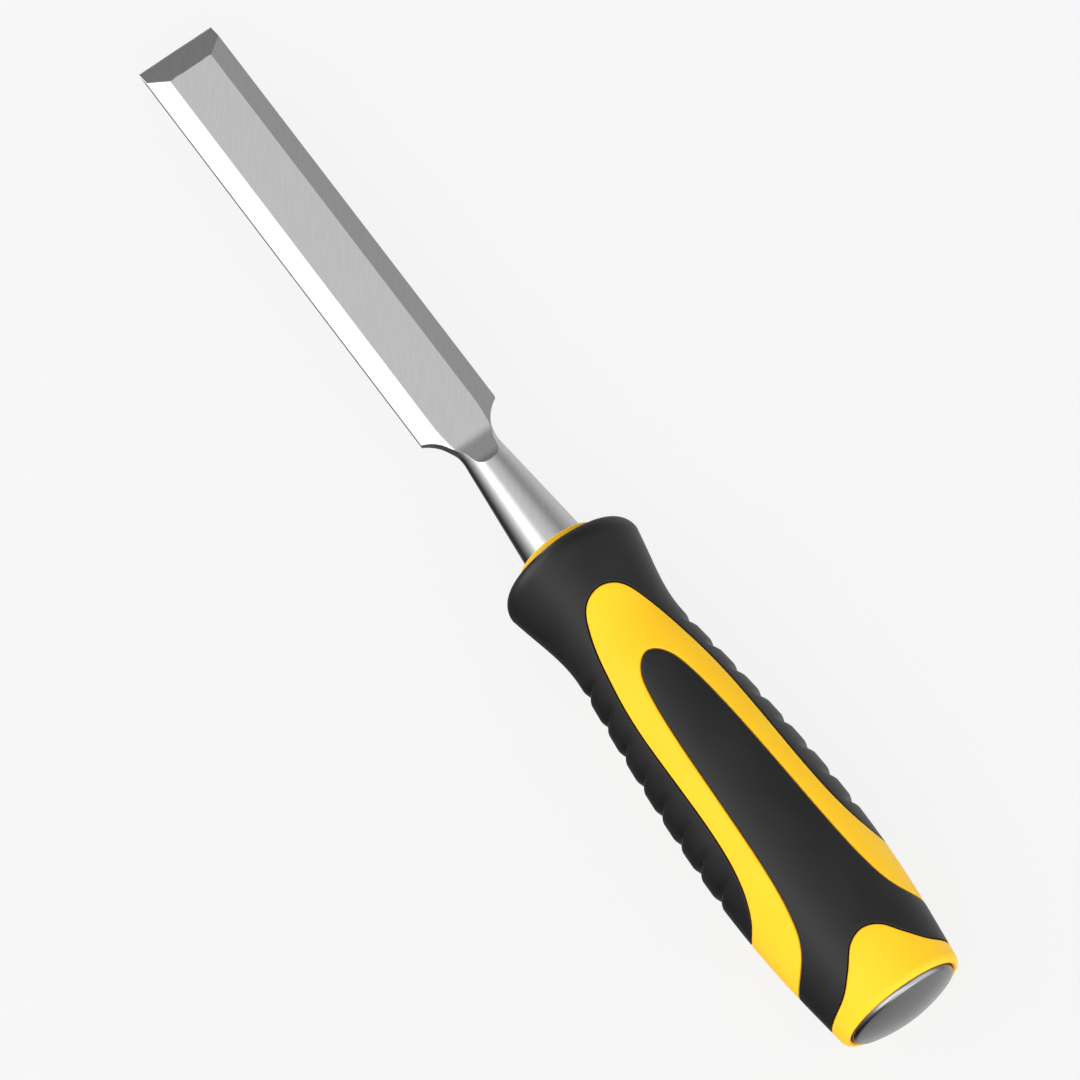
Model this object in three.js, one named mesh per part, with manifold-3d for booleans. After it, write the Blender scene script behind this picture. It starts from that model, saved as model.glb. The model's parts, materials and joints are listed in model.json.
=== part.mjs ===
// Bevel-edged bench chisel with a two-colour moulded handle and a steel strike cap.
//
// Every piece is built along the chisel's own axis, which is +X here. A station is a distance
// along that axis from the cutting edge, Y runs across the blade, and Z points up through the
// bevelled side. At the end the whole chisel is turned and tipped to lie as it does on a bench.
// Millimetres throughout.

import * as THREE from 'three';
import { mergeVertices } from 'three/addons/utils/BufferGeometryUtils.js';
import Module from 'manifold-3d';

const wasm = await Module();
wasm.setup();

// Blade: a flat back, two long side bevels that leave a low land, and one cutting bevel.
const BLADE_WIDTH = 18;
const BLADE_THICKNESS = 3.3;
const LAND_HEIGHT = 1.6;
const TOP_FLAT_WIDTH = 10.1;
const CUTTING_ANGLE = THREE.MathUtils.degToRad(27);
const SHOULDER_STATION = 101.8;
const BACK_BELOW_AXIS = 1.25;

// Neck and shank: ground shoulders sweep in to a narrow neck, which a conical shank widens from.
const NECK_STATION = 109.6;
const NECK_RADIUS = 4.38;
const TOP_RAMP_STATION = 105.9;
const BACK_RAMP_STATION = 104.5;
const RAMP_RADIUS = 13.3;
const RAMP_SWEEP = Math.PI / 3;
const SHANK_FRONT_STATION = 103;
const SHANK_FRONT_RADIUS = 3.7;
const SHANK_RADIUS = 6.9;

// Tang: it fills the handle's bore and ends in a spigot under the strike cap.
const BOLSTER_DEPTH = 6;
const TANG_FRONT_RADIUS = 4.6;
const TANG_REAR_RADIUS = 3;
const SPIGOT_LENGTH = 7;

// Handle: stations below count from its front end.
const HANDLE_STATION = 136;
const HANDLE_LENGTH = 116.4;
const FRONT_RING_RADIUS = 8.8;
const COLLAR_FACE = 2.2;
const COLLAR_CORNER_RADIUS = 4.1;
const COLLAR_CREST = { station: 6.2, radius: 15.5 };
const HANDLE_SWELL = [
  [14, 13.85],
  [24, 12.6],
  [36, 13.8],
  [54, 15.5],
  [79, 16.7],
  [98, 15.9],
  [113, 14.2],
];
const BUTT_CORNER = 1.6;
const BUTT_RADIUS = 13.8;

// Soft grips: rubber let into pockets in the hard core.
const GRIP_THICKNESS = 2.4;
const RIB_PITCH = 7.05;
const RIB_COUNT = 8;
const FIRST_RIB_STATION = 29;
const RIB_DEPTH = 0.55;
const RIB_STEP = 0.5;
const RIB_SLOPE = 2.6;
const RIB_FADE = 1.12;

// Colour borders on the handle, seen from above: [station, half width]. Each starts with a round
// nose on the centre line and opens out until it leaves the side of the handle.
const STRIPE_FRONT_EDGE = [
  [15.4, 0],
  [17, 4.3],
  [21.6, 6.8],
  [30, 8.9],
  [44, 10.8],
  [69, 11.7],
  [80, 12.9],
  [87, 15.1],
  [90, 17.8],
];
const STRIPE_REAR_EDGE = [
  [32.1, 0],
  [34, 2.8],
  [39, 4.6],
  [52, 6.1],
  [81, 7.8],
  [93, 9.3],
  [99, 11.4],
  [103, 15],
  [105, 18],
];
const BUTT_RING_EDGE = [
  [102.9, 0],
  [104.2, 3.7],
  [107.7, 6.9],
  [110.9, 10.4],
  [112.3, 14.4],
  [113.1, 18],
];

// Strike cap: a domed steel disc on a stem, seated in the butt.
const CAP_RADIUS = 11.7;
const CAP_RIM_STATION = 116.2;
const CAP_DOME_HEIGHT = 3.1;
const CAP_EDGE_CHAMFER = 0.4;
const CAP_SKIRT_DEPTH = 5;
const STEM_RADIUS = 6;
const STEM_LENGTH = 9;

// Clearance between neighbouring pieces, and how finely round shapes are cut into flats.
const GAP = 0.3;
const SIDES = 40;
const ARC_STEPS = 5;
const SWELL_STEPS = 13;
const BORDER_STEPS = 13;
const REACH = 40;
const POCKET_MARGIN = 5;
const VERTEX_TOLERANCE = 1e-4;

function solidOf(geometry) {
  const bare = geometry.clone();
  bare.deleteAttribute('normal');
  bare.deleteAttribute('uv');
  const merged = mergeVertices(bare, VERTEX_TOLERANCE);
  const vertProperties = merged.attributes.position.array;
  const triVerts = Uint32Array.from(merged.index.array);
  return new wasm.Manifold(new wasm.Mesh({ numProp: 3, vertProperties, triVerts }));
}

function geometryOf(solid) {
  const { vertProperties, triVerts } = solid.getMesh();
  const geometry = new THREE.BufferGeometry();
  geometry.setAttribute('position', new THREE.BufferAttribute(vertProperties, 3));
  geometry.setIndex(new THREE.BufferAttribute(triVerts, 1));
  geometry.computeVertexNormals();
  return geometry;
}

// A profile is a list of [station, radius] pairs, turned about the chisel's axis.
// One flat faces straight down, so that a round piece has something to rest on.
function turned(profile) {
  const points = profile.map(([station, radius]) => new THREE.Vector2(radius, station));
  const geometry = new THREE.LatheGeometry(points, SIDES, Math.PI / SIDES);
  return solidOf(geometry.rotateZ(-Math.PI / 2));
}

// An outline in the plan view, [station, across], cut straight through from top to bottom.
function planPrism(outline) {
  const shape = new THREE.Shape(outline.map(([station, across]) => new THREE.Vector2(station, across)));
  const geometry = new THREE.ExtrudeGeometry(shape, { depth: 2 * REACH, bevelEnabled: false });
  return solidOf(geometry.translate(0, 0, -REACH));
}

// An outline in the side view, [station, height], cut straight through from side to side.
function sidePrism(outline) {
  const shape = new THREE.Shape(outline.map(([station, height]) => new THREE.Vector2(station, height)));
  const geometry = new THREE.ExtrudeGeometry(shape, { depth: 2 * REACH, bevelEnabled: false });
  return solidOf(geometry.translate(0, 0, -REACH).rotateX(Math.PI / 2));
}

// A cross-section, [across, height], drawn out along the axis.
function bar(section, length) {
  const shape = new THREE.Shape(section.map(([across, height]) => new THREE.Vector2(across, height)));
  const geometry = new THREE.ExtrudeGeometry(shape, { depth: length, bevelEnabled: false });
  return solidOf(geometry.rotateX(Math.PI / 2).rotateZ(Math.PI / 2));
}

// Points along an arc from one angle to another, both ends included.
function arc(station, centre, radius, from, to) {
  const points = [];
  for (let step = 0; step <= ARC_STEPS; step += 1) {
    const angle = THREE.MathUtils.lerp(from, to, step / ARC_STEPS);
    points.push([station + radius * Math.cos(angle), centre + radius * Math.sin(angle)]);
  }
  return points;
}

function mirrored(outline) {
  return outline.map(([station, across]) => [station, -across]).reverse();
}

// Blade, neck, shank and tang are one forging.

function bladePlan() {
  const half = BLADE_WIDTH / 2;
  const run = NECK_STATION - SHOULDER_STATION;
  const drop = half - NECK_RADIUS;
  const sweep = (run * run + drop * drop) / (2 * drop);
  const shoulder = arc(
    NECK_STATION,
    NECK_RADIUS + sweep,
    sweep,
    -Math.PI / 2 - Math.asin(run / sweep),
    -Math.PI / 2,
  );
  const side = [[0, half], ...shoulder, [TOP_RAMP_STATION + RAMP_RADIUS, NECK_RADIUS]];
  return planPrism([...mirrored(side), ...side]);
}

function bladeSection() {
  const half = BLADE_WIDTH / 2;
  const back = -BACK_BELOW_AXIS;
  const side = [
    [half, back],
    [half, back + LAND_HEIGHT],
    [TOP_FLAT_WIDTH / 2, back + BLADE_THICKNESS],
  ];
  const mirror = side.map(([across, height]) => [-across, height]).reverse();
  return bar([...side, ...mirror], TOP_RAMP_STATION + RAMP_RADIUS);
}

// The forging seen from the side: cutting bevel, top flat, and a round ramp up to the shank.
// Behind the shoulders a second ramp takes the back down to the shank.
function bladeSide() {
  const back = -BACK_BELOW_AXIS;
  const top = back + BLADE_THICKNESS;
  const down = -Math.PI / 2;
  const up = Math.PI / 2;
  const upper = arc(TOP_RAMP_STATION, top + RAMP_RADIUS, RAMP_RADIUS, down, down + RAMP_SWEEP);
  const lower = arc(BACK_RAMP_STATION, back - RAMP_RADIUS, RAMP_RADIUS, up, up - RAMP_SWEEP);
  const end = HANDLE_STATION + HANDLE_LENGTH;
  return sidePrism([
    [0, back],
    ...lower,
    [BACK_RAMP_STATION + RAMP_RADIUS, -REACH],
    [end, -REACH],
    [end, REACH],
    [TOP_RAMP_STATION + RAMP_RADIUS, REACH],
    ...upper.reverse(),
    [BLADE_THICKNESS / Math.tan(CUTTING_ANGLE), top],
  ]);
}

function shankAndTang() {
  const bolster = HANDLE_STATION + BOLSTER_DEPTH;
  const spigotEnd = HANDLE_STATION + CAP_RIM_STATION - CAP_SKIRT_DEPTH - GAP;
  const spigotStart = spigotEnd - SPIGOT_LENGTH;
  return turned([
    [SHANK_FRONT_STATION, 0],
    [SHANK_FRONT_STATION, SHANK_FRONT_RADIUS],
    [HANDLE_STATION, SHANK_RADIUS],
    [bolster, SHANK_RADIUS],
    [bolster, TANG_FRONT_RADIUS],
    [spigotStart, TANG_REAR_RADIUS],
    [spigotEnd, TANG_REAR_RADIUS],
    [spigotEnd, 0],
  ]);
}

function bladeSolid() {
  return bladeSection().intersect(bladePlan()).add(shankAndTang()).intersect(bladeSide());
}

// Handle.

// The outer profile of the grips and core, from the collar's front face to the butt's corner.
function handleProfile() {
  const { station, radius } = COLLAR_CREST;
  const corner = arc(
    COLLAR_FACE + COLLAR_CORNER_RADIUS,
    radius - COLLAR_CORNER_RADIUS,
    COLLAR_CORNER_RADIUS,
    Math.PI,
    Math.PI / 2,
  );
  corner.pop();
  const swell = [[station, radius], ...HANDLE_SWELL, [HANDLE_LENGTH - BUTT_CORNER, BUTT_RADIUS]];
  const curve = new THREE.SplineCurve(swell.map(([x, y]) => new THREE.Vector2(x, y)));
  const body = curve.getSpacedPoints(SWELL_STEPS).map((point) => [point.x, point.y]);
  return [...corner, ...body];
}

function onAxis(profile) {
  return profile.map(([station, radius]) => [HANDLE_STATION + station, radius]);
}

// The ring under the outer profile that the soft grips fill. The pocket cut for them in the core
// is the same ring, deeper by a clearance and with a margin that opens it to the outside.
function gripRing(clearance, margin) {
  const outer = handleProfile();
  const depth = GRIP_THICKNESS + clearance;
  const step = COLLAR_FACE + depth;
  const inner = outer
    .filter(([station]) => station > step)
    .map(([station, radius]) => [station, radius - depth]);
  const wall = outer.map(([station, radius]) => [station, radius + margin]);
  const front = COLLAR_FACE - clearance;
  const mouth = FRONT_RING_RADIUS + GAP - clearance;
  return turned(onAxis([
    [front, mouth],
    [front, wall[0][1]],
    ...wall,
    ...inner.reverse(),
    [step, inner.at(-1)[1]],
    [step, mouth],
    [front, mouth],
  ]));
}

// One colour border as a solid: everything behind the border line, grown forward by a clearance.
function behind(border, clearance) {
  const half = border.map(([station, across]) => new THREE.Vector2(HANDLE_STATION + station, across));
  const other = half.slice(1).map((point) => new THREE.Vector2(point.x, -point.y));
  const curve = new THREE.SplineCurve([...other.reverse(), ...half]);
  const line = [];
  for (let step = 0; step <= 2 * BORDER_STEPS; step += 1) {
    const t = step / (2 * BORDER_STEPS);
    const point = curve.getPoint(t);
    const tangent = curve.getTangent(t);
    line.push([point.x - clearance * tangent.y, point.y + clearance * tangent.x]);
  }
  const rear = HANDLE_STATION + HANDLE_LENGTH + REACH;
  return planPrism([...line, [rear, line.at(-1)[1]], [rear, line[0][1]]]);
}

// A groove between two ribs: a short step down, then a long slope back out. It is taller than it
// is wide, so it is deepest at the sides of the handle and runs out towards the stripes.
function ribGroove(index) {
  const station = FIRST_RIB_STATION + index * RIB_PITCH;
  const outer = handleProfile();
  const after = outer.findIndex(([x]) => x > station);
  const [x0, r0] = outer[after - 1];
  const [x1, r1] = outer[after];
  const radius = THREE.MathUtils.mapLinear(station, x0, x1, r0, r1);
  const bottom = [station, radius - RIB_DEPTH];
  return turned(onAxis([
    bottom,
    [station - 2 * RIB_STEP, radius + RIB_DEPTH],
    [station + 2 * RIB_SLOPE, radius + RIB_DEPTH],
    bottom,
  ])).scale([1, 1, RIB_FADE]);
}

function frontGripSolid() {
  let grip = gripRing(0, 0).subtract(behind(STRIPE_FRONT_EDGE, 0));
  for (let index = 0; index < RIB_COUNT; index += 1) {
    grip = grip.subtract(ribGroove(index));
  }
  return grip;
}

function rearGripSolid() {
  return gripRing(0, 0).intersect(behind(STRIPE_REAR_EDGE, 0)).subtract(behind(BUTT_RING_EDGE, 0));
}

function capSeat() {
  const face = CAP_RIM_STATION - CAP_SKIRT_DEPTH - GAP;
  const floor = face - STEM_LENGTH;
  return turned(onAxis([
    [floor, 0],
    [floor, STEM_RADIUS + GAP],
    [face, STEM_RADIUS + GAP],
    [face, CAP_RADIUS + GAP],
    [HANDLE_LENGTH + REACH, CAP_RADIUS + GAP],
    [HANDLE_LENGTH + REACH, 0],
  ]));
}

function tangBore() {
  const rear = CAP_RIM_STATION - CAP_SKIRT_DEPTH;
  return turned(onAxis([
    [-GAP, 0],
    [-GAP, SHANK_RADIUS + GAP],
    [BOLSTER_DEPTH + GAP, SHANK_RADIUS + GAP],
    [BOLSTER_DEPTH + GAP, TANG_FRONT_RADIUS + GAP],
    [rear, TANG_REAR_RADIUS + GAP],
    [rear, 0],
  ]));
}

function coreSolid() {
  const butt = HANDLE_LENGTH - BUTT_CORNER;
  const blank = turned(onAxis([
    [0, 0],
    [0, FRONT_RING_RADIUS],
    [COLLAR_FACE, FRONT_RING_RADIUS],
    ...handleProfile(),
    ...arc(butt, BUTT_RADIUS - BUTT_CORNER, BUTT_CORNER, Math.PI / 2, 0),
    [HANDLE_LENGTH, 0],
  ]));
  const pocketRing = gripRing(GAP, POCKET_MARGIN);
  const frontPocket = pocketRing.subtract(behind(STRIPE_FRONT_EDGE, -GAP));
  const rearPocket = pocketRing
    .intersect(behind(STRIPE_REAR_EDGE, GAP))
    .subtract(behind(BUTT_RING_EDGE, -GAP));
  return blank.subtract(frontPocket).subtract(rearPocket).subtract(capSeat()).subtract(tangBore());
}

function capSolid() {
  const face = CAP_RIM_STATION - CAP_SKIRT_DEPTH;
  const end = face - STEM_LENGTH + GAP;
  const rim = CAP_RADIUS - CAP_EDGE_CHAMFER;
  const crown = (rim * rim + CAP_DOME_HEIGHT * CAP_DOME_HEIGHT) / (2 * CAP_DOME_HEIGHT);
  const dome = arc(
    CAP_RIM_STATION + CAP_DOME_HEIGHT - crown,
    0,
    crown,
    Math.asin(rim / crown),
    0,
  );
  return turned(onAxis([
    [face, 0],
    [face, TANG_REAR_RADIUS + GAP],
    [end, TANG_REAR_RADIUS + GAP],
    [end, STEM_RADIUS],
    [face, STEM_RADIUS],
    [face, CAP_RADIUS],
    [CAP_RIM_STATION - CAP_EDGE_CHAMFER, CAP_RADIUS],
    ...dome,
  ]));
}

const STEEL = { color: 0xb4b6b8, roughness: 0.3, metalness: 1 };
const CAP_STEEL = { color: 0x85878a, roughness: 0.35, metalness: 1 };
const YELLOW_PLASTIC = { color: 0xffd02a, roughness: 0.4, metalness: 0 };
const BLACK_RUBBER = { color: 0x2b2b2c, roughness: 0.75, metalness: 0 };

const chisel = new THREE.Group();

function addPiece(name, solid, finish) {
  const mesh = new THREE.Mesh(geometryOf(solid), new THREE.MeshStandardMaterial(finish));
  mesh.name = name;
  chisel.add(mesh);
}

addPiece('blade', bladeSolid(), STEEL);
addPiece('handle_core', coreSolid(), YELLOW_PLASTIC);
addPiece('front_grip', frontGripSolid(), BLACK_RUBBER);
addPiece('rear_grip', rearGripSolid(), BLACK_RUBBER);
addPiece('strike_cap', capSolid(), CAP_STEEL);

// The chisel rests on its collar and on the swell behind it, with the cutting edge facing +X and
// clear of the bench. The origin is under the middle of its box, at bench level.
const restSlope = Math.max(
  ...handleProfile()
    .filter(([station]) => station > COLLAR_CREST.station)
    .map(([station, radius]) => (radius - COLLAR_CREST.radius) / (station - COLLAR_CREST.station)),
);
chisel.rotation.set(0, -Math.atan(restSlope * Math.cos(Math.PI / SIDES)), Math.PI);
chisel.updateMatrixWorld(true);
const box = new THREE.Box3().setFromObject(chisel, true);
const middle = box.getCenter(new THREE.Vector3());
chisel.position.set(-middle.x, -middle.y, -box.min.z);
chisel.updateMatrixWorld(true);

export default chisel;
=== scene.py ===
"""Bench chisel: bevel-edged blade, conical shank, two-colour handle and domed strike cap.

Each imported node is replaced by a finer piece. The pieces are built in millimetres in the chisel's
own frame and placed by one matrix, which their vertices carry. In that frame a station runs along
the axis from the cutting edge to the butt, "across" runs over the blade's width, and "up" comes out
of the bevelled side. Angles round the axis count from straight up.
"""

import json
import math

import bmesh
import bpy
import numpy as np
from mathutils import Matrix, Vector


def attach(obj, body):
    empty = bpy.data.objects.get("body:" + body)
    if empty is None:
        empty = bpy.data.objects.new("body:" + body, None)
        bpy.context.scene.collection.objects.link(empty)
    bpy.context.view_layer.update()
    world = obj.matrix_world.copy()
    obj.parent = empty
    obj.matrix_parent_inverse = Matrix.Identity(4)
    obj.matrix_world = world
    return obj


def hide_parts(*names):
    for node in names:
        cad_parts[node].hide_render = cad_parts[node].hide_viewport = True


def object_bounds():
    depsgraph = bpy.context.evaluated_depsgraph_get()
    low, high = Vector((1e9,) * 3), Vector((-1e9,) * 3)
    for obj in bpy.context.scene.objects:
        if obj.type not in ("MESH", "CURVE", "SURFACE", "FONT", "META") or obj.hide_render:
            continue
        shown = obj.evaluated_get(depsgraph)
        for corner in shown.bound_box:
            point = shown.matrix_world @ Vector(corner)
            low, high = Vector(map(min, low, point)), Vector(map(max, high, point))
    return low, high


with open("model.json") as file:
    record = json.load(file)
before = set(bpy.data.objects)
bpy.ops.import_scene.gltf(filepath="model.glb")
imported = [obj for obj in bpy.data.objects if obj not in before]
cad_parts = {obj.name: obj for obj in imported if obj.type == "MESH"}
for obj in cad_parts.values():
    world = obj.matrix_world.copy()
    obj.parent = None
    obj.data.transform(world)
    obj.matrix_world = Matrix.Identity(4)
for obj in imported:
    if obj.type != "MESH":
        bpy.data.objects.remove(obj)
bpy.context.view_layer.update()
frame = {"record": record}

MM = 0.001
PI = math.pi

# Placement, from the mount on the blade's back.
MOUNT_STATION = 50
BACK = -1.25

# Blade.
HALF_WIDTH = 9
TOP = 2.05
HALF_FLAT = 5.05
BEVEL_SLOPE = 0.4304
CUTTING_SLOPE = math.tan(math.radians(27))
FLAT_TAPER_STATION = 99.5
FLAT_TAPER_LENGTH = 8.6
FLAT_TAPER_DRAW = 0.86
SHOULDER_STATION = 101.8
NECK_STATION = 109.6
NECK_RADIUS = 4.38
RAMP_START = 105.6
RAMP_FILLET_END = 109
RAMP_SLOPE = 0.335
RAMP_CURVE_START = 111.8
RAMP_GAIN = 0.21
RAMP_APEX = 113.92
BACK_RAMP_START = 104.5
BACK_RAMP_POWER = 1.7
CONE_STATION = 113.7
CONE_RADIUS = 4.72
CONE_SLOPE = 0.0985
CORNER = 0.055
LEAST_CORNER = 1e-4
CORNER_SPREAD = 2.5
GRIND_SLANT = math.radians(53)

# Over the shoulders the section turns from ground to round. Each change has the station where it
# starts and the length that it takes.
ROUND_FROM = 105
FLAT_CHANGE = 106.6, 3
EDGE_CHANGE = 106.6, 3
FOOT_CHANGE = 105.2, 3.6
SIDE_CHANGE = 105.6, 3.4
EDGE_TURN = 0.134

# Painted shade on the shoulders' walls: their colour is darkened to stand in for the dark
# reflections they show.
WALL_SHADE_RISE = 0.05
WALL_SHADE_END = 110
WALL_SHADE_FADE = 2.5

# Tang, inside the handle.
SHANK_END = 142
SHANK_END_RADIUS = 6.9
TANG_RADIUS = 4.6
TANG_END = 240.2
SPIGOT_RADIUS = 3
SPIGOT_END = 246.9

# Handle.
HANDLE = 136
RING_RADIUS = 8.8
RING_ROUND = 0.45
RING_GAP = 0.16
SHANK_BORE = 7.2
TANG_BORE = 4.9
CLEARANCE = 0.3
COLLAR_FACE = 138.2
COLLAR_CORNER = 4.1
CREST_STATION = 142.3
CREST_RADIUS = 15.5
SWELL = [
    (142.3, 15.5),
    (147, 14.53),
    (153, 13.27),
    (159.4, 12.6),
    (166, 13.1),
    (180, 14.62),
    (198, 16.1),
    (215, 16.7),
    (234, 15.9),
    (250.6, 14.0),
]
BUTT_STATION = 250.6
BUTT_FACE = 252.4
LIP_ROUND = 0.6
LIP_GAP = 0.2
# The painted shade on the butt's lip starts this far outside its crest and deepens down to the cap.
LIP_SHADE_START = 0.4
GRIP_DEPTH = 2.4
POCKET_DEPTH = 2.7
GRIP_INNER_CORNER = 12.7
POCKET_CORNER = 12.4
SEAM = 0.2
GRIP_ROUND = 0.14
CORE_ROUND = 0.42

# Colour borders seen from above: station from the handle's front end, and half width.
STRIPE_FRONT = [
    (15.4, 0),
    (17, 4.3),
    (21.6, 6.8),
    (30, 8.9),
    (44, 10.8),
    (69, 11.7),
    (80, 12.9),
    (87, 15.1),
    (90, 17.8),
]
STRIPE_REAR = [
    (32.1, 0),
    (34, 2.8),
    (39, 4.6),
    (52, 6.1),
    (81, 7.8),
    (93, 9.3),
    (99, 11.4),
    (103, 15),
    (105, 18),
]
BUTT_RING = [
    (102.9, 0),
    (104.2, 3.7),
    (107.7, 6.9),
    (110.9, 10.4),
    (112.3, 14.4),
    (113.1, 18),
]

# Ribs down the sides of the front grip.
FIRST_RIB = 164.9
RIB_PITCH = 7.05
RIB_COUNT = 8
RIB_DEPTH = 0.85
RIB_BEFORE = 1.9
RIB_AFTER = 1.5
RIB_POWER = 1.3
RIB_FULL = math.radians(12)
RIB_GONE = math.radians(38)

# Strike cap.
CAP_RADIUS = 12
CAP_ROUND = 1.2
CAP_DOME_RADIUS = 32
CAP_END = 255.3
SEAT = 247.2
STEM_RADIUS = 6
STEM_END = 238.5


def smooth(x):
    x = np.clip(x, 0, 1)
    return x * x * (3 - 2 * x)


# ---------------------------------------------------------------- placement

mount = next(m for m in frame["record"]["mounts"] if m["name"] == "blade_back")
up_axis = -Vector(mount["axis"])
across_axis = Vector((0, -1, 0))
along_axis = across_axis.cross(up_axis)
PLACE = Matrix((along_axis, across_axis, up_axis)).transposed().to_4x4()
PLACE.translation = (
    Vector(mount["pos_m"]) - along_axis * MOUNT_STATION * MM - up_axis * BACK * MM
)


# ---------------------------------------------------------------- mesh building


class Shell:
    """Vertices and faces of one closed body."""

    def __init__(self):
        self.points = []
        self.painted_shades = []
        self.faces = []
        self.count = 0

    def add(self, points, tone=0):
        """Adds points and returns their numbers.

        The last argument, from 0 to 1, is the share of the material's second colour, which is
        painted shade.
        """
        points = np.asarray(points, float).reshape(-1, 3)
        self.points.append(points)
        self.painted_shades.append(np.broadcast_to(np.asarray(tone, float), len(points)))
        ids = np.arange(self.count, self.count + len(points))
        self.count += len(points)
        return ids

    def face(self, *ids):
        """A face, with repeated corners dropped."""
        kept = [int(i) for k, i in enumerate(ids) if i != ids[k - 1]]
        if len(kept) > 2:
            self.faces.append(kept)

    def strip(self, a, b):
        """Quads between two open rows of the same length."""
        for k in range(len(a) - 1):
            self.face(a[k], a[k + 1], b[k + 1], b[k])

    def join(self, a, b):
        """Quads between two closed loops of the same length."""
        self.strip(np.append(a, a[0]), np.append(b, b[0]))

    def chain(self, loops):
        for a, b in zip(loops, loops[1:]):
            self.join(a, b)

    def zip(self, a, angles_a, b, angles_b):
        """Triangles between two closed loops of different lengths, by their angles."""
        i = j = 0
        while i < len(a) or j < len(b):
            next_a = angles_a[i + 1] if i + 1 < len(a) else 2 * PI
            next_b = angles_b[j + 1] if j + 1 < len(b) else 2 * PI
            here_a, here_b = a[i % len(a)], b[j % len(b)]
            if j >= len(b) or (i < len(a) and next_a <= next_b):
                self.face(here_a, a[(i + 1) % len(a)], here_b)
                i += 1
            else:
                self.face(here_a, b[(j + 1) % len(b)], here_b)
                j += 1

    def fan(self, loop, centre):
        for k in range(len(loop)):
            self.face(loop[k - 1], loop[k], centre)

    def build(self, name, node, material):
        """Makes the piece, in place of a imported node."""
        mesh = bpy.data.meshes.new(name)
        mesh.from_pydata(np.concatenate(self.points) * MM, [], self.faces)
        mesh.transform(PLACE)
        # Each vertex's share of painted shade, read by the materials.
        tone = mesh.attributes.new("tone", "FLOAT", "POINT")
        tone.data.foreach_set("value", np.concatenate(self.painted_shades))
        work = bmesh.new()
        work.from_mesh(mesh)
        bmesh.ops.recalc_face_normals(work, faces=work.faces)
        work.to_mesh(mesh)
        work.free()
        mesh.shade_smooth()
        mesh.materials.append(material)
        piece = bpy.data.objects.new(name, mesh)
        bpy.context.scene.collection.objects.link(piece)
        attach(piece, "root")
        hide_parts(node)


def ring(station, radius, angles):
    """Points of one circle, or of a curve with its own station and radius at each angle."""
    station = np.broadcast_to(station, angles.shape)
    return np.stack([station, radius * np.sin(angles), radius * np.cos(angles)], -1)


def even(count):
    return np.arange(count) * 2 * PI / count


def arc(station, radius, size, start, end, steps):
    """Profile points (station, radius) along an arc, both ends included."""
    turn = np.linspace(start, end, steps + 1)
    return [(station + size * math.cos(t), radius + size * math.sin(t)) for t in turn]


# ---------------------------------------------------------------- handle surface


class Spline:
    """Natural cubic spline through a few points."""

    def __init__(self, knots):
        self.x, self.y = np.array(knots, float).T
        h = np.diff(self.x)
        n = len(self.x)
        a = np.eye(n)
        rhs = np.zeros(n)
        for k in range(1, n - 1):
            a[k, k - 1 : k + 2] = h[k - 1], 2 * (h[k - 1] + h[k]), h[k]
            rhs[k] = 6 * (
                (self.y[k + 1] - self.y[k]) / h[k]
                - (self.y[k] - self.y[k - 1]) / h[k - 1]
            )
        self.m = np.linalg.solve(a, rhs)
        self.h = h

    def at(self, x):
        """Value and slope."""
        x = np.asarray(x, float)
        k = np.clip(np.searchsorted(self.x, x) - 1, 0, len(self.h) - 1)
        h = self.h[k]
        left, right = self.x[k + 1] - x, x - self.x[k]
        low, high = self.m[k], self.m[k + 1]
        p = self.y[k] / h - low * h / 6
        q = self.y[k + 1] / h - high * h / 6
        value = (low * left**3 + high * right**3) / (6 * h) + p * left + q * right
        slope = (high * right**2 - low * left**2) / (2 * h) - p + q
        return value, slope


swell = Spline(SWELL)


def skin(station, angle, depth=0):
    """Points at a depth under the handle's outer surface."""
    radius, slope = swell.at(station)
    scale = 1 / np.sqrt(1 + slope**2)
    return ring(station + depth * slope * scale, radius - depth * scale, angle)


def rib_depth(station, angle):
    """How far the grip's side is cut in: sharp notches that fade out towards the stripes."""
    lean = np.abs(np.abs(np.mod(angle, PI) - PI / 2))
    fade = smooth((RIB_GONE - lean) / (RIB_GONE - RIB_FULL))
    cut = np.zeros(np.broadcast(station, angle).shape)
    for k in range(RIB_COUNT):
        away = station - (FIRST_RIB + k * RIB_PITCH)
        reach = np.where(away < 0, -away / RIB_BEFORE, away / RIB_AFTER)
        cut = np.maximum(cut, np.clip(1 - reach, 0, 1) ** RIB_POWER)
    return RIB_DEPTH * cut * fade


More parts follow.
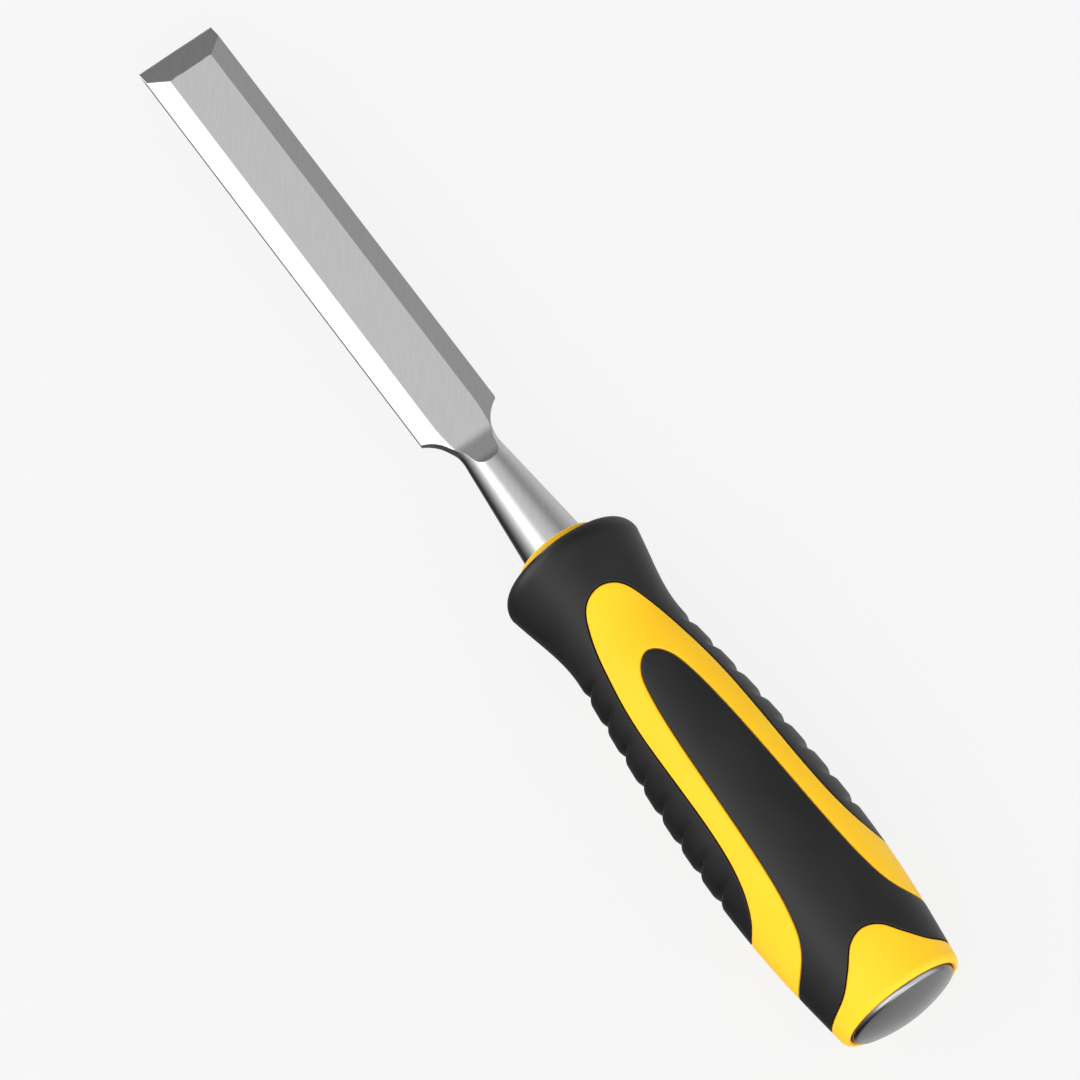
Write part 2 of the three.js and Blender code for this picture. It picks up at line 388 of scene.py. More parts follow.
class Border:
    """One colour border: a quarter of it, from its nose on top to where it meets the side."""

    def __init__(self, plan):
        half = np.array([(HANDLE + s, w) for s, w in plan], float)
        knots = np.vstack([half[1] * (1, -1), half, half[-1]])
        t_end = self.crossing(knots, len(half) - 1)
        t = t_end * (1 - (1 - np.linspace(0, 1, 6001)) ** 2)
        s, w = self.curve(knots, t)
        radius, slope = swell.at(s)
        self.s = s
        self.a = np.arcsin(np.clip(w / radius, 0, 1))
        self.a[0], self.a[-1] = 0, PI / 2
        du = np.diff(self.s) * np.sqrt(1 + slope[1:] ** 2)
        dv = np.diff(self.a) * radius[1:]
        length = np.append(0, np.cumsum(np.hypot(du, dv)))
        heading = np.arctan2(du, dv)
        turn = np.append([0, 0], np.cumsum(np.abs(np.diff(heading))))
        self.measure = (length / length[-1] + turn / turn[-1]) / 2

    @staticmethod
    def curve(knots, t):
        k = np.clip(np.floor(t).astype(int), 0, len(knots) - 4)
        f = (t - k)[:, None]
        p0, p1, p2, p3 = (knots[k + i] for i in range(4))
        v0, v1 = (p2 - p0) / 2, (p3 - p1) / 2
        return (
            (2 * p1 - 2 * p2 + v0 + v1) * f**3
            + (3 * p2 - 3 * p1 - 2 * v0 - v1) * f**2
            + v0 * f
            + p1
        ).T

    def crossing(self, knots, last):
        """Where the curve leaves the side of the handle."""
        low, high = last - 2.0, float(last)
        for _ in range(60):
            middle = (low + high) / 2
            s, w = self.curve(knots, np.array([middle]))
            if w[0] < swell.at(s)[0][0]:
                low = middle
            else:
                high = middle
        return low

    def quarter(self, shares):
        """Stations and angles at these shares of the border's measure."""
        return (
            np.interp(shares, self.measure, self.s),
            np.interp(shares, self.measure, self.a),
        )

    def at_angles(self, angles):
        return np.interp(angles, self.a, self.s), angles


def moved(quarter, distance):
    """The quarter moved over the surface, away from the chisel's tip."""
    s, a = quarter
    radius, slope = swell.at(s)
    stretch = np.sqrt(1 + slope**2)
    du, dv = np.gradient(s) * stretch, np.gradient(a) * radius
    size = np.hypot(du, dv)
    du, dv = du / size, dv / size
    du[0] = du[-1] = 0
    dv[0] = dv[-1] = 1
    return s + distance * dv / stretch, a - distance * du / radius


def all_round(quarter):
    """The four mirrored quarters as one closed loop of stations and angles."""
    s, a = quarter
    back = s[::-1][:-1]
    stations = np.concatenate([s[:-1], back, s[:-1], back])
    angles = np.concatenate(
        [
            a[:-1],
            (PI - a)[::-1][:-1],
            (PI + a)[:-1],
            (2 * PI - a)[::-1][:-1],
        ]
    )
    return stations, angles


def rolled_edge(side, size, depth, steps=3):
    """(distance, depth) pairs for an edge that rolls over and drops into the seam.

    side is 1 where the piece lies behind the border and -1 where it lies in front of it.
    """
    turn = np.linspace(0, PI / 2, steps + 1)
    rolled = [
        (side * size * (1 - math.sin(t)), size * (1 - math.cos(t))) for t in turn
    ]
    return rolled + [(0, depth)]


def edge_loops(shell, quarter, offset, rolled, ribbed=False):
    """Adds one closed loop for each (distance, depth) pair.

    The material's second colour, painted shade, sets in as the edge rolls over into the seam.
    """
    loops = []
    for distance, depth in rolled:
        s, a = all_round(moved(quarter, offset + distance))
        cut = rib_depth(s, a) * max(0, 1 - depth / GRIP_DEPTH) if ribbed else 0
        loops.append(shell.add(skin(s, a, depth + cut), min(depth / CORE_ROUND, 1)))
    return loops


def between(shell, first, second, rows, depth=0):
    """Adds the loops strictly between two quarters, ruled over the surface."""
    loops = []
    for share in np.arange(1, rows) / rows:
        s = first[0] + (second[0] - first[0]) * share
        a = first[1] + (second[1] - first[1]) * share
        loops.append(shell.add(skin(*all_round((s, a)), depth)))
    return loops


def crown(shell, border_loop, quarter, columns, depth, ribbed=False):
    """The surface from a full ring at the border's top nose down to its two side noses.

    Rows keep their station and run from the top border to the bottom one, on both sides.
    Returns the first row as a full loop with its angles.
    """
    s, a = quarter
    last = len(s) - 1
    share = np.arange(1, columns) / columns
    tops = [border_loop[: last + 1], border_loop[::-1][:last]]
    tops[1] = np.concatenate([border_loop[:1], tops[1]])
    bottoms = [border_loop[last : 2 * last + 1][::-1]]
    bottoms.append(border_loop[2 * last : 3 * last + 1])
    first_rows = []
    for side in (0, 1):
        rows = []
        for k in range(last):
            angles = a[k] + (PI - 2 * a[k]) * share
            angles = 2 * PI - angles if side else angles
            cut = rib_depth(s[k], angles) if ribbed else 0
            inner = shell.add(skin(np.full(len(share), s[k]), angles, depth + cut))
            rows.append(np.concatenate([[tops[side][k]], inner, [bottoms[side][k]]]))
        rows.append(np.full(columns + 1, tops[side][last]))
        for one, two in zip(rows, rows[1:]):
            shell.strip(one, two)
        first_rows.append(rows[0])
    loop = np.concatenate([first_rows[0][:-1], first_rows[1][::-1][:-1]])
    return loop, even(2 * columns)


# ---------------------------------------------------------------- materials


class Graph:
    """A small helper for building node trees."""

    def __init__(self, tree):
        self.tree = tree

    def node(self, kind, **settings):
        made = self.tree.nodes.new(kind)
        for key, value in settings.items():
            setattr(made, key, value)
        return made

    def link(self, output, target):
        self.tree.links.new(output, target)

    def ranged(self, value, low, high, start=0.3, end=0.7, interpolation="LINEAR"):
        """Carries the stretch from start to end onto the one from low to high."""
        made = self.node("ShaderNodeMapRange", interpolation_type=interpolation)
        for name, number in zip(
            ("From Min", "From Max", "To Min", "To Max"), (start, end, low, high)
        ):
            made.inputs[name].default_value = number
        self.link(value, made.inputs["Value"])
        return made.outputs["Result"]

    def maths(self, operation, a, b=0.0):
        made = self.node("ShaderNodeMath", operation=operation)
        for value, socket in zip((a, b), made.inputs):
            if isinstance(value, (int, float)):
                socket.default_value = value
            else:
                self.link(value, socket)
        return made.outputs["Value"]


class Nodes(Graph):
    """A material's nodes, with the place on the chisel in millimetres in its own frame."""

    def __init__(self, name):
        self.material = bpy.data.materials.new(name)
        self.material.use_nodes = True
        super().__init__(self.material.node_tree)
        self.shader = self.tree.nodes["Principled BSDF"]
        where = self.node("ShaderNodeTexCoord")
        back = PLACE.inverted()
        frame_of_chisel = self.node("ShaderNodeMapping")
        frame_of_chisel.inputs["Location"].default_value = back.translation / MM
        frame_of_chisel.inputs["Rotation"].default_value = back.to_euler()
        frame_of_chisel.inputs["Scale"].default_value = (1 / MM, 1 / MM, 1 / MM)
        self.link(where.outputs["Object"], frame_of_chisel.inputs["Vector"])
        self.millimetres = frame_of_chisel.outputs["Vector"]

    def turned(self, vector, angle):
        """The vector turned about the chisel's up direction."""
        made = self.node("ShaderNodeMapping")
        made.inputs["Rotation"].default_value = (0, 0, angle)
        self.link(vector, made.inputs["Vector"])
        return made.outputs["Vector"]

    def mapped(self, vector, scale):
        made = self.node("ShaderNodeMapping")
        made.inputs["Scale"].default_value = scale
        self.link(vector, made.inputs["Vector"])
        return made.outputs["Vector"]

    def noise(self, vector, scale, detail=2.0, roughness=0.5):
        made = self.node("ShaderNodeTexNoise")
        made.inputs["Scale"].default_value = scale
        made.inputs["Detail"].default_value = detail
        made.inputs["Roughness"].default_value = roughness
        self.link(vector, made.inputs["Vector"])
        return made.outputs["Fac"]

    def mix(self, factor, a, b):
        """A colour between two, by a factor from a pattern."""
        made = self.node("ShaderNodeMix", data_type="RGBA")
        self.link(factor, made.inputs["Factor"])
        for name, colour in (("A", a), ("B", b)):
            if isinstance(colour, tuple):
                made.inputs[name].default_value = (*colour, 1)
            else:
                self.link(colour, made.inputs[name])
        return made.outputs["Result"]

    def tone(self):
        """The mesh's share of painted shade, from 0 to 1."""
        return self.node("ShaderNodeAttribute", attribute_name="tone").outputs["Fac"]

    def with_painted_shade(self, colour, second):
        """The colour, with a second one mixed in as painted shade where the mesh carries it."""
        return self.mix(self.tone(), colour, second)

    def bump(self, height, distance, strength):
        made = self.node("ShaderNodeBump")
        made.inputs["Strength"].default_value = strength
        made.inputs["Distance"].default_value = distance * MM
        self.link(height, made.inputs["Height"])
        return made.outputs["Normal"]

    def set(self, **values):
        """Numbers go on the shader's own sockets, and patterns are linked to them."""
        for key, value in values.items():
            socket = self.shader.inputs[key.replace("_", " ")]
            if isinstance(value, bpy.types.NodeSocket):
                self.link(value, socket)
            else:
                socket.default_value = value
        return self.material


def ground_steel():
    """Bright tool steel: fine grinding lines aslant over the blade, and a very fine mottle."""
    n = Nodes("ground_steel")
    slanted = n.turned(n.millimetres, -GRIND_SLANT)
    lines = n.noise(n.mapped(slanted, (2.4, 0.16, 1)), 1.0, 3.0, 0.6)
    grain = n.noise(n.millimetres, 6.0, 2.0, 0.6)
    both = n.maths("ADD", n.maths("MULTIPLY", lines, 0.6), n.maths("MULTIPLY", grain, 0.4))
    colour = n.mix(n.ranged(both, 0, 1, 0.35, 0.65), (0.62, 0.622, 0.625), (0.68, 0.682, 0.685))
    # Painted shade: the shoulders' walls get a darker colour in place of the dark reflections they
    # show, and a higher roughness.
    colour = n.with_painted_shade(colour, (0.3, 0.3, 0.305))
    rough = n.maths("ADD", n.ranged(both, 0.15, 0.21), n.maths("MULTIPLY", n.tone(), 0.3))
    normal = n.bump(both, 0.0012, 0.4)
    return n.set(Base_Color=colour, Metallic=1.0, Roughness=rough, Normal=normal)


def turned_steel():
    """Darker polished steel with turning lines round the cap's centre."""
    n = Nodes("turned_steel")
    split = n.node("ShaderNodeSeparateXYZ")
    n.link(n.millimetres, split.inputs["Vector"])
    y, z = split.outputs["Y"], split.outputs["Z"]
    square = n.maths("ADD", n.maths("MULTIPLY", y, y), n.maths("MULTIPLY", z, z))
    radius = n.maths("SQRT", square)
    place = n.node("ShaderNodeCombineXYZ")
    n.link(radius, place.inputs["X"])
    rings = n.noise(place.outputs["Vector"], 7.0, 3.0, 0.65)
    grain = n.noise(n.millimetres, 4.0, 2.0)
    colour = n.mix(n.ranged(rings, 0, 1), (0.27, 0.273, 0.276), (0.33, 0.333, 0.336))
    rough = n.maths("ADD", n.ranged(rings, 0.22, 0.28), n.ranged(grain, -0.02, 0.02))
    normal = n.bump(rings, 0.003, 0.4)
    return n.set(Base_Color=colour, Metallic=1.0, Roughness=rough, Normal=normal)


def yellow_plastic():
    """Hard moulded plastic, satin, with a faint moulded texture."""
    n = Nodes("yellow_plastic")
    cloud = n.noise(n.millimetres, 0.09, 3.0)
    grain = n.noise(n.millimetres, 3.2, 2.0)
    colour = n.mix(n.ranged(cloud, 0, 1), (1.0, 0.57, 0.014), (1.0, 0.6, 0.018))
    # Painted shade: a darker orange where the edges roll into the seams and where the lip rolls
    # down to the cap.
    colour = n.with_painted_shade(colour, (0.62, 0.24, 0.008))
    rough = n.ranged(grain, 0.42, 0.5)
    normal = n.bump(grain, 0.006, 0.35)
    return n.set(
        Base_Color=colour,
        Metallic=0.0,
        Roughness=rough,
        Normal=normal,
        Specular_IOR_Level=0.25,
    )


def black_rubber(name):
    """Soft moulded rubber, matt, with a fine spark-eroded grain."""
    n = Nodes(name)
    grain = n.noise(n.millimetres, 4.5, 3.0, 0.6)
    cloud = n.noise(n.millimetres, 0.12, 3.0)
    colour = n.mix(n.ranged(cloud, 0, 1), (0.008, 0.008, 0.0084), (0.011, 0.011, 0.0114))
    rough = n.maths("ADD", n.ranged(grain, 0.38, 0.46), n.ranged(cloud, -0.02, 0.03))
    normal = n.bump(grain, 0.012, 0.45)
    return n.set(
        Base_Color=colour,
        Metallic=0.0,
        Roughness=rough,
        Normal=normal,
        Specular_IOR_Level=0.36,
    )


# ---------------------------------------------------------------- blade


def shoulder(station):
    """Half width over the shoulders."""
    run = NECK_STATION - SHOULDER_STATION
    drop = HALF_WIDTH - NECK_RADIUS
    size = (run * run + drop * drop) / (2 * drop)
    away = np.clip(NECK_STATION - station, 0, run)
    return NECK_RADIUS + size - math.sqrt(size * size - away * away)


def cone(station):
    return CONE_RADIUS + CONE_SLOPE * (station - CONE_STATION)


def ramp_height(station):
    """Height of the top flat, and of the ramp that rises from it to the shank."""
    run = RAMP_FILLET_END - RAMP_START
    x = min(max((station - RAMP_START) / run, 0), 1)
    height = TOP + RAMP_SLOPE * run * (x**3 - x**4 / 2)
    straight = max(station - RAMP_FILLET_END, 0)
    curved = max(station - RAMP_CURVE_START, 0)
    return height + RAMP_SLOPE * straight + RAMP_GAIN * curved * curved / 2


def back_height(station):
    x = max(station - BACK_RAMP_START, 0) / (RAMP_APEX - BACK_RAMP_START)
    return BACK - (cone(RAMP_APEX) + BACK) * x**BACK_RAMP_POWER


def change(station, start, length):
    """How far a change has come, from 0 to 1."""
    return float(smooth((station - start) / length))


def corners(station):
    """The three corners of a section's right half, its radius, and how round its side is."""
    half = shoulder(station)
    radius = max(cone(station), half)
    top, low = ramp_height(station), back_height(station)
    taper = max(station - FLAT_TAPER_STATION, 0) / FLAT_TAPER_LENGTH
    flat = HALF_FLAT - FLAT_TAPER_DRAW * taper * taper
    rounding = station > ROUND_FROM
    flat_on_cone = math.sqrt(max(radius**2 - top**2, 0)) if rounding else flat
    flat += (flat_on_cone - flat) * change(station, *FLAT_CHANGE)
    land = top - (half - flat) * BEVEL_SLOPE
    foot = math.sqrt(max(radius**2 - low**2, 0)) if rounding else half
    first = np.array([flat, top])
    third = np.array([half + (foot - half) * change(station, *FOOT_CHANGE), low])
    start, end = math.atan2(*first), math.atan2(*third)
    turn = start + EDGE_TURN * (end - start)
    on_circle = radius * np.array([math.sin(turn), math.cos(turn)])
    second = np.array([half, land])
    second += (on_circle - second) * change(station, *EDGE_CHANGE)
    return first, second, third, radius, change(station, *SIDE_CHANGE)


BEVEL_STEPS, SIDE_STEPS = 8, 36
FLAT_SHARES = np.array([0, 0.4, 0.75])
BACK_SHARES = np.array([0.25, 0.6, 1])


def section(station):
    """Right half of a section from the top centre line to the bottom one."""
    first, second, third, radius, roundness = corners(station)

    def cut(before, corner, after, size):
        """A corner cut off at a size from it, with a point to each side that keeps it tight."""
        towards = (before - corner) / max(np.linalg.norm(before - corner), 1e-9)
        onwards = (after - corner) / max(np.linalg.norm(after - corner), 1e-9)
        a, b = corner + towards * size, corner + onwards * size
        return [
            corner + towards * CORNER_SPREAD * size,
            a,
            (a + b + 2 * corner) / 4,
            b,
            corner + onwards * CORNER_SPREAD * size,
        ]

    centre, foot = np.array([0, first[1]]), np.array([0, third[1]])
    sizes = [min(CORNER, first[0] / 4), CORNER, min(CORNER, third[0] / 4)]
    one = cut(centre, first, second, max(sizes[0], LEAST_CORNER))
    two = cut(first, second, third, sizes[1])
    three = cut(second, third, foot, max(sizes[2], LEAST_CORNER))
    bevel = np.linspace(one[-1], two[0], BEVEL_STEPS + 1)[1:-1]
    side = np.linspace(two[-1], three[0], SIDE_STEPS + 1)[1:-1]
    if roundness > 0:
        swept = np.linspace(math.atan2(*two[-1]), math.atan2(*three[0]), SIDE_STEPS + 1)[1:-1]
        even_side = np.stack([np.sin(swept), np.cos(swept)], -1) * radius
        side = side + (even_side - side) * roundness
    points = np.vstack(
        [
            np.outer(FLAT_SHARES, one[0] - centre) + centre,
            one,
            bevel,
            two,
            side,
            three,
            three[-1] + np.outer(BACK_SHARES, foot - three[-1]),
        ]
    )
    inner = slice(len(FLAT_SHARES) + 3, -len(BACK_SHARES) - 2)
    lengths = np.linalg.norm(points[inner], axis=1, keepdims=True)
    points[inner] += points[inner] * (radius / lengths - 1) * roundness
    return points


# Share of the edge land's size that its inner loop keeps, across and in height.
LAND_WIDTH_SHARE, LAND_HEIGHT_SHARE = 0.985, 0.95
# The last rows before the ramp's end draw closer together over this run.
APEX_RUN, APEX_STEPS = 5, 30
APEX_ROW = RAMP_APEX - APEX_RUN / APEX_STEPS**2
# Rows of a section that lie on its side wall.
WALL = slice(len(FLAT_SHARES) + BEVEL_STEPS + 7, -len(BACK_SHARES) - 3)


def blade_rows():
    """Stations of the sections from behind the cutting bevel to just before the ramp's end."""
    return np.concatenate(
        [
            np.arange(9, 99, 5.0),
            np.arange(99.4, SHOULDER_STATION - 0.2, 0.4),
            SHOULDER_STATION + np.array([-0.1, -0.03, 0, 0.05, 0.15]),
            np.arange(SHOULDER_STATION + 0.3, RAMP_APEX - APEX_RUN, 0.16),
            RAMP_APEX - APEX_RUN * (np.arange(APEX_STEPS, 1, -1) / APEX_STEPS) ** 2,
            [APEX_ROW],
        ]
    )


def blade_piece():
    shell = Shell()

    def loop(points, stations, tone=0):
        """A closed loop from the right half: down the right side and up the left.

        The last argument is the painted shade of the side walls, a darker colour standing in for
        their dark reflections.
        """
        right = np.column_stack([stations, points[:, 0], points[:, 1]])
        left = (right * (1, -1, 1))[1:-1][::-1]
        painted_shades = np.zeros(len(right))
        painted_shades[WALL] = tone
        return shell.add(np.vstack([right, left]), np.append(painted_shades, painted_shades[1:-1][::-1]))

    def bevelled(points):
        """The loop on the plane of the cutting bevel."""
        return loop(points, (points[:, 1] - BACK) / CUTTING_SLOPE)

    tip = section(0)
    bevel = (tip[:, 1] - BACK) / CUTTING_SLOPE
    middle = np.array([0, (TOP + BACK) / 2])
    inner = bevelled(middle + (tip - middle) * (LAND_WIDTH_SHARE, LAND_HEIGHT_SHARE))
    rows = [inner, bevelled(tip), loop(tip, bevel + 0.06)]
    for k in range(len(tip) - 1):
        shell.face(inner[k], inner[k + 1], inner[-k - 1], inner[-k])
    length = (TOP - BACK) / CUTTING_SLOPE
    for share in (0.3, 0.6, 0.9):
        rows.append(loop(tip, bevel + (length + 1.5 - bevel) * share))
    for station in blade_rows():
        points = section(station)
        # Painted shade on the side walls over the shoulders, fading out past the neck.
        tone = smooth((station - SHOULDER_STATION) / WALL_SHADE_RISE + 1)
        tone *= smooth((WALL_SHADE_END - station) / WALL_SHADE_FADE)
        rows.append(loop(points, np.full(len(points), station), tone))
    shell.chain(rows)

    # The last section's flat and back close in on one point each of the shank's first ring.
    last, end = rows[-1], section(APEX_ROW)
    top, bottom = len(FLAT_SHARES) + 2, len(end) - len(BACK_SHARES) - 3
    angles = np.arctan2(end[:, 0], end[:, 1])[top : bottom + 1]
    angles[0], angles[-1] = 0, PI
    angles = np.append(angles, (2 * PI - angles[1:-1])[::-1])
    shank = RAMP_APEX + np.array([0, 0.02, 0.06, 0.14, 0.3, 0.6])
    profile = [(s, cone(s)) for s in np.append(shank, np.linspace(115, HANDLE + 0.02, 24))]
    profile += [(SHANK_END, SHANK_END_RADIUS), (SHANK_END, TANG_RADIUS)]
    profile += [(TANG_END, SPIGOT_RADIUS), (SPIGOT_END, SPIGOT_RADIUS)]
    rings = [shell.add(ring(s, r, angles)) for s, r in profile]
    shell.chain(rings)
    for side in (1, -1):
        ids = np.arange(top, bottom + 1)
        shell.strip(last[side * ids], rings[0][side * (ids - top)])
    for k in range(-top, top):
        shell.face(last[k], last[k + 1], rings[0][0])
    for k in range(bottom, 2 * len(end) - 2 - bottom):
        shell.face(last[k], last[k + 1], rings[0][bottom - top])
    shell.fan(rings[-1], shell.add([SPIGOT_END, 0, 0])[0])
    shell.build("ground_blade", "blade", ground_steel())


# ---------------------------------------------------------------- handle pieces

front_border = Border(STRIPE_FRONT)
rear_border = Border(STRIPE_REAR)
butt_border = Border(BUTT_RING)


def collar_profile():
    """The collar's rounded corner from its crest to its face."""
    centre = COLLAR_FACE + COLLAR_CORNER, CREST_RADIUS - COLLAR_CORNER
    return arc(*centre, COLLAR_CORNER, PI / 2, PI, 14)


def front_grip_piece(material):
    shell = Shell()
    # Rows round each rib's notch, closest at its bottom.
    rib_steps = [-2, -1.6, -1.2, -0.8, -0.5, -0.25, -0.1, 0, 0.1, 0.25, 0.5, 0.8, 1.15, 1.6]
    rib_steps += [2.4, 3.2, 4.1]
    least_share = 0.002
    stations = [FIRST_RIB + k * RIB_PITCH + x for k in range(RIB_COUNT) for x in rib_steps]
    shares = np.interp(stations, front_border.s, front_border.measure)
    plain = np.linspace(0, 1, 150)
    outside = (plain < shares[0] - least_share) | (plain > shares[-1] + least_share)
    shares = np.sort(np.concatenate([plain[outside], shares]))
    quarter = front_border.quarter(shares)
    loops = edge_loops(shell, quarter, 0, rolled_edge(-1, GRIP_ROUND, GRIP_DEPTH), True)
    shell.chain(loops)
    columns = 64
    inset = moved(quarter, -GRIP_ROUND)
    first, angles = crown(shell, loops[0], inset, columns, 0, True)
    rows = [first]
    for s in np.linspace(inset[0][0], CREST_STATION, 26)[1:]:
        rows.append(shell.add(skin(np.full(2 * columns, s), angles)))
    for s, r in collar_profile()[1:]:
        rows.append(shell.add(ring(s, r, angles)))
    mouth = RING_RADIUS + RING_GAP
    for s, r in [
        (COLLAR_FACE, 10.2),
        (COLLAR_FACE, mouth + 0.3),
        (COLLAR_FACE + 0.05, mouth + 0.1),
        (COLLAR_FACE + RING_GAP, mouth),
        (COLLAR_FACE + GRIP_DEPTH, mouth),
    ]:
        rows.append(shell.add(ring(s, r, angles)))
    shell.chain(rows)
    few = 14
    floor, few_angles = crown(shell, loops[-1], quarter, few, GRIP_DEPTH)
    inner = [floor]
    for s in np.linspace(quarter[0][0], CREST_STATION, 8)[1:]:
        inner.append(shell.add(skin(np.full(2 * few, s), few_angles, GRIP_DEPTH)))
    inner.append(shell.add(ring(COLLAR_FACE + GRIP_DEPTH, GRIP_INNER_CORNER, few_angles)))
    shell.chain(inner)
    shell.zip(rows[-1], angles, inner[-1], few_angles)
    shell.build("ribbed_grip", "front_grip", material)


def rear_grip_piece(material):
    shell = Shell()
    front = rear_border.quarter(np.linspace(0, 1, 151))
    rear = butt_border.at_angles(front[1])
    ahead = edge_loops(shell, front, 0, rolled_edge(1, GRIP_ROUND, GRIP_DEPTH))
    behind = edge_loops(shell, rear, 0, rolled_edge(-1, GRIP_ROUND, GRIP_DEPTH))
    outer = between(shell, moved(front, GRIP_ROUND), moved(rear, -GRIP_ROUND), 56)
    inner = between(shell, front, rear, 12, GRIP_DEPTH)
    shell.chain(ahead[::-1] + outer + behind + inner[::-1] + [ahead[-1]])
    shell.build("palm_grip", "rear_grip", material)


def core_piece():
    shell = Shell()
    shares = np.linspace(0, 1, 161)
    front = front_border.quarter(shares)
    rear = rear_border.quarter(shares)
    butt = butt_border.at_angles(rear[1])

    # The wall edges take on painted shade as they roll into the seams.
    walls = [
        edge_loops(shell, front, SEAM, rolled_edge(1, CORE_ROUND, POCKET_DEPTH, 5)),
        edge_loops(shell, rear, -SEAM, rolled_edge(-1, CORE_ROUND, POCKET_DEPTH, 5)),
        edge_loops(shell, butt, SEAM, rolled_edge(1, CORE_ROUND, POCKET_DEPTH, 5)),
    ]
    band = between(shell, moved(front, SEAM + CORE_ROUND), moved(rear, -SEAM - CORE_ROUND), 18)
    floor = between(shell, moved(rear, -SEAM), moved(butt, SEAM), 14, POCKET_DEPTH)
    butt_front = moved(butt, SEAM + CORE_ROUND)
    butt_rear = np.full(len(butt[0]), BUTT_STATION), rear[1]
    end = between(shell, butt_front, butt_rear, 16)
    angles = all_round(butt_rear)[1]

    # The butt's end is a rounded rim that rolls over and falls to the cap.
    lip = CAP_RADIUS + LIP_GAP
    crest = lip + LIP_ROUND
    length, width = BUTT_FACE - BUTT_STATION, swell.at(BUTT_STATION)[0] - crest
    profile = [
        (BUTT_STATION + length * x, crest + width * y) for x, y in arc(0, 0, 1, PI / 2, 0, 9)
    ]
    profile += arc(BUTT_FACE - LIP_ROUND, crest, LIP_ROUND, 0, -PI / 2, 6)[1:]

    # Below the lip come the cap's seat, the bore for its stem, and the bore for the tang.
    seat, stem = SEAT - CLEARANCE, STEM_RADIUS + CLEARANCE
    stem_end = STEM_END - CLEARANCE
    profile += [(seat, lip), (seat, stem), (stem_end, stem), (stem_end, SPIGOT_RADIUS + 0.4)]
    tail = []
    for s, r in profile:
        # Painted shade: the yellow darkens as the lip rolls down to the cap.
        tone = min(max(crest + LIP_SHADE_START - r, 0) / (LIP_ROUND + LIP_SHADE_START), 1)
        tail.append(shell.add(ring(s, r, angles), tone))
    shell.chain(walls[0][::-1] + band + walls[1] + floor + walls[2][::-1] + end + tail)

    few = 16
    start, few_angles = crown(shell, walls[0][-1], moved(front, SEAM), few, POCKET_DEPTH)
    pocket = [start]
    for s in np.linspace(front[0][0], CREST_STATION, 7)[1:]:
        pocket.append(shell.add(skin(np.full(2 * few, s), few_angles, POCKET_DEPTH)))
    pocket.append(shell.add(ring(COLLAR_FACE + POCKET_DEPTH, POCKET_CORNER, few_angles)))
    shell.chain(pocket)

    many = even(128)
    ring_profile = [(COLLAR_FACE + POCKET_DEPTH, RING_RADIUS - 0.01), (137.5, RING_RADIUS)]
    ring_centre = HANDLE + RING_ROUND, RING_RADIUS - RING_ROUND
    ring_profile += arc(*ring_centre, RING_ROUND, PI / 2, PI, 4)
    # The ring's face, with a rolled edge round the shank, and the bores for shank and tang.
    ring_profile += [(HANDLE, SHANK_BORE + 0.25), (HANDLE + 0.06, SHANK_BORE + 0.06)]
    ring_profile += [(HANDLE + 0.2, SHANK_BORE), (CREST_STATION, SHANK_BORE)]
    ring_profile += [(CREST_STATION, TANG_BORE), (STEM_END - 8, SPIGOT_RADIUS + 0.5)]
    front_end = [shell.add(ring(s, r, many)) for s, r in ring_profile]
    shell.chain(front_end)
    shell.zip(front_end[0], many, pocket[-1], few_angles)
    shell.zip(front_end[-1], many, tail[-1], angles)
    shell.build("moulded_core", "handle_core", yellow_plastic())


def cap_piece():
    shell = Shell()
    angles = even(192)
    lean = math.asin((CAP_RADIUS - CAP_ROUND) / (CAP_DOME_RADIUS - CAP_ROUND))
    centre = CAP_END - CAP_DOME_RADIUS
    corner = centre + (CAP_DOME_RADIUS - CAP_ROUND) * math.cos(lean)
    profile = arc(centre, 0, CAP_DOME_RADIUS, 0.02, lean, 24)
    profile += arc(corner, CAP_RADIUS - CAP_ROUND, CAP_ROUND, lean, PI / 2, 9)[1:]
    profile += [(SEAT, CAP_RADIUS), (SEAT, STEM_RADIUS)]
    profile += [(STEM_END, STEM_RADIUS), (STEM_END, SPIGOT_RADIUS + CLEARANCE)]
    profile += [(SEAT, SPIGOT_RADIUS + CLEARANCE)]
    loops = [shell.add(ring(s, r, angles)) for s, r in profile]
    shell.chain(loops)
    shell.fan(loops[0], shell.add([CAP_END, 0, 0])[0])
    shell.fan(loops[-1], shell.add([SEAT, 0, 0])[0])
    shell.build("domed_cap", "strike_cap", turned_steel())


rubber = black_rubber("black_rubber")
blade_piece()
front_grip_piece(rubber)
rear_grip_piece(rubber)
core_piece()
cap_piece()

# ---------------------------------------------------------------- floor, light and camera


FLOOR_SIZE = 40
FLOOR_COLOUR = 0.07
FLOOR_VARIATION = 0.002
FLOOR_GLOW = 0.847


def floor_material():
    n = Nodes("pale_floor")
    cloud = n.noise(n.millimetres, 0.002, 2.0)
    n.shader.inputs["Emission Color"].default_value = (1, 1, 1, 1)
    n.shader.inputs["Emission Strength"].default_value = FLOOR_GLOW
    low, high = (FLOOR_COLOUR - FLOOR_VARIATION,) * 3, (FLOOR_COLOUR + FLOOR_VARIATION,) * 3
    return n.set(
        Base_Color=n.mix(n.ranged(cloud, 0, 1), low, high),
        Roughness=1.0,
        Specular_IOR_Level=0.0,
    )


bpy.ops.mesh.primitive_plane_add(size=FLOOR_SIZE, location=(0, 0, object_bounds()[0][2]))
floor_plane = bpy.context.object
floor_plane.name = "floor"
floor_plane.data.materials.append(floor_material())
floor_plane.visible_glossy = False

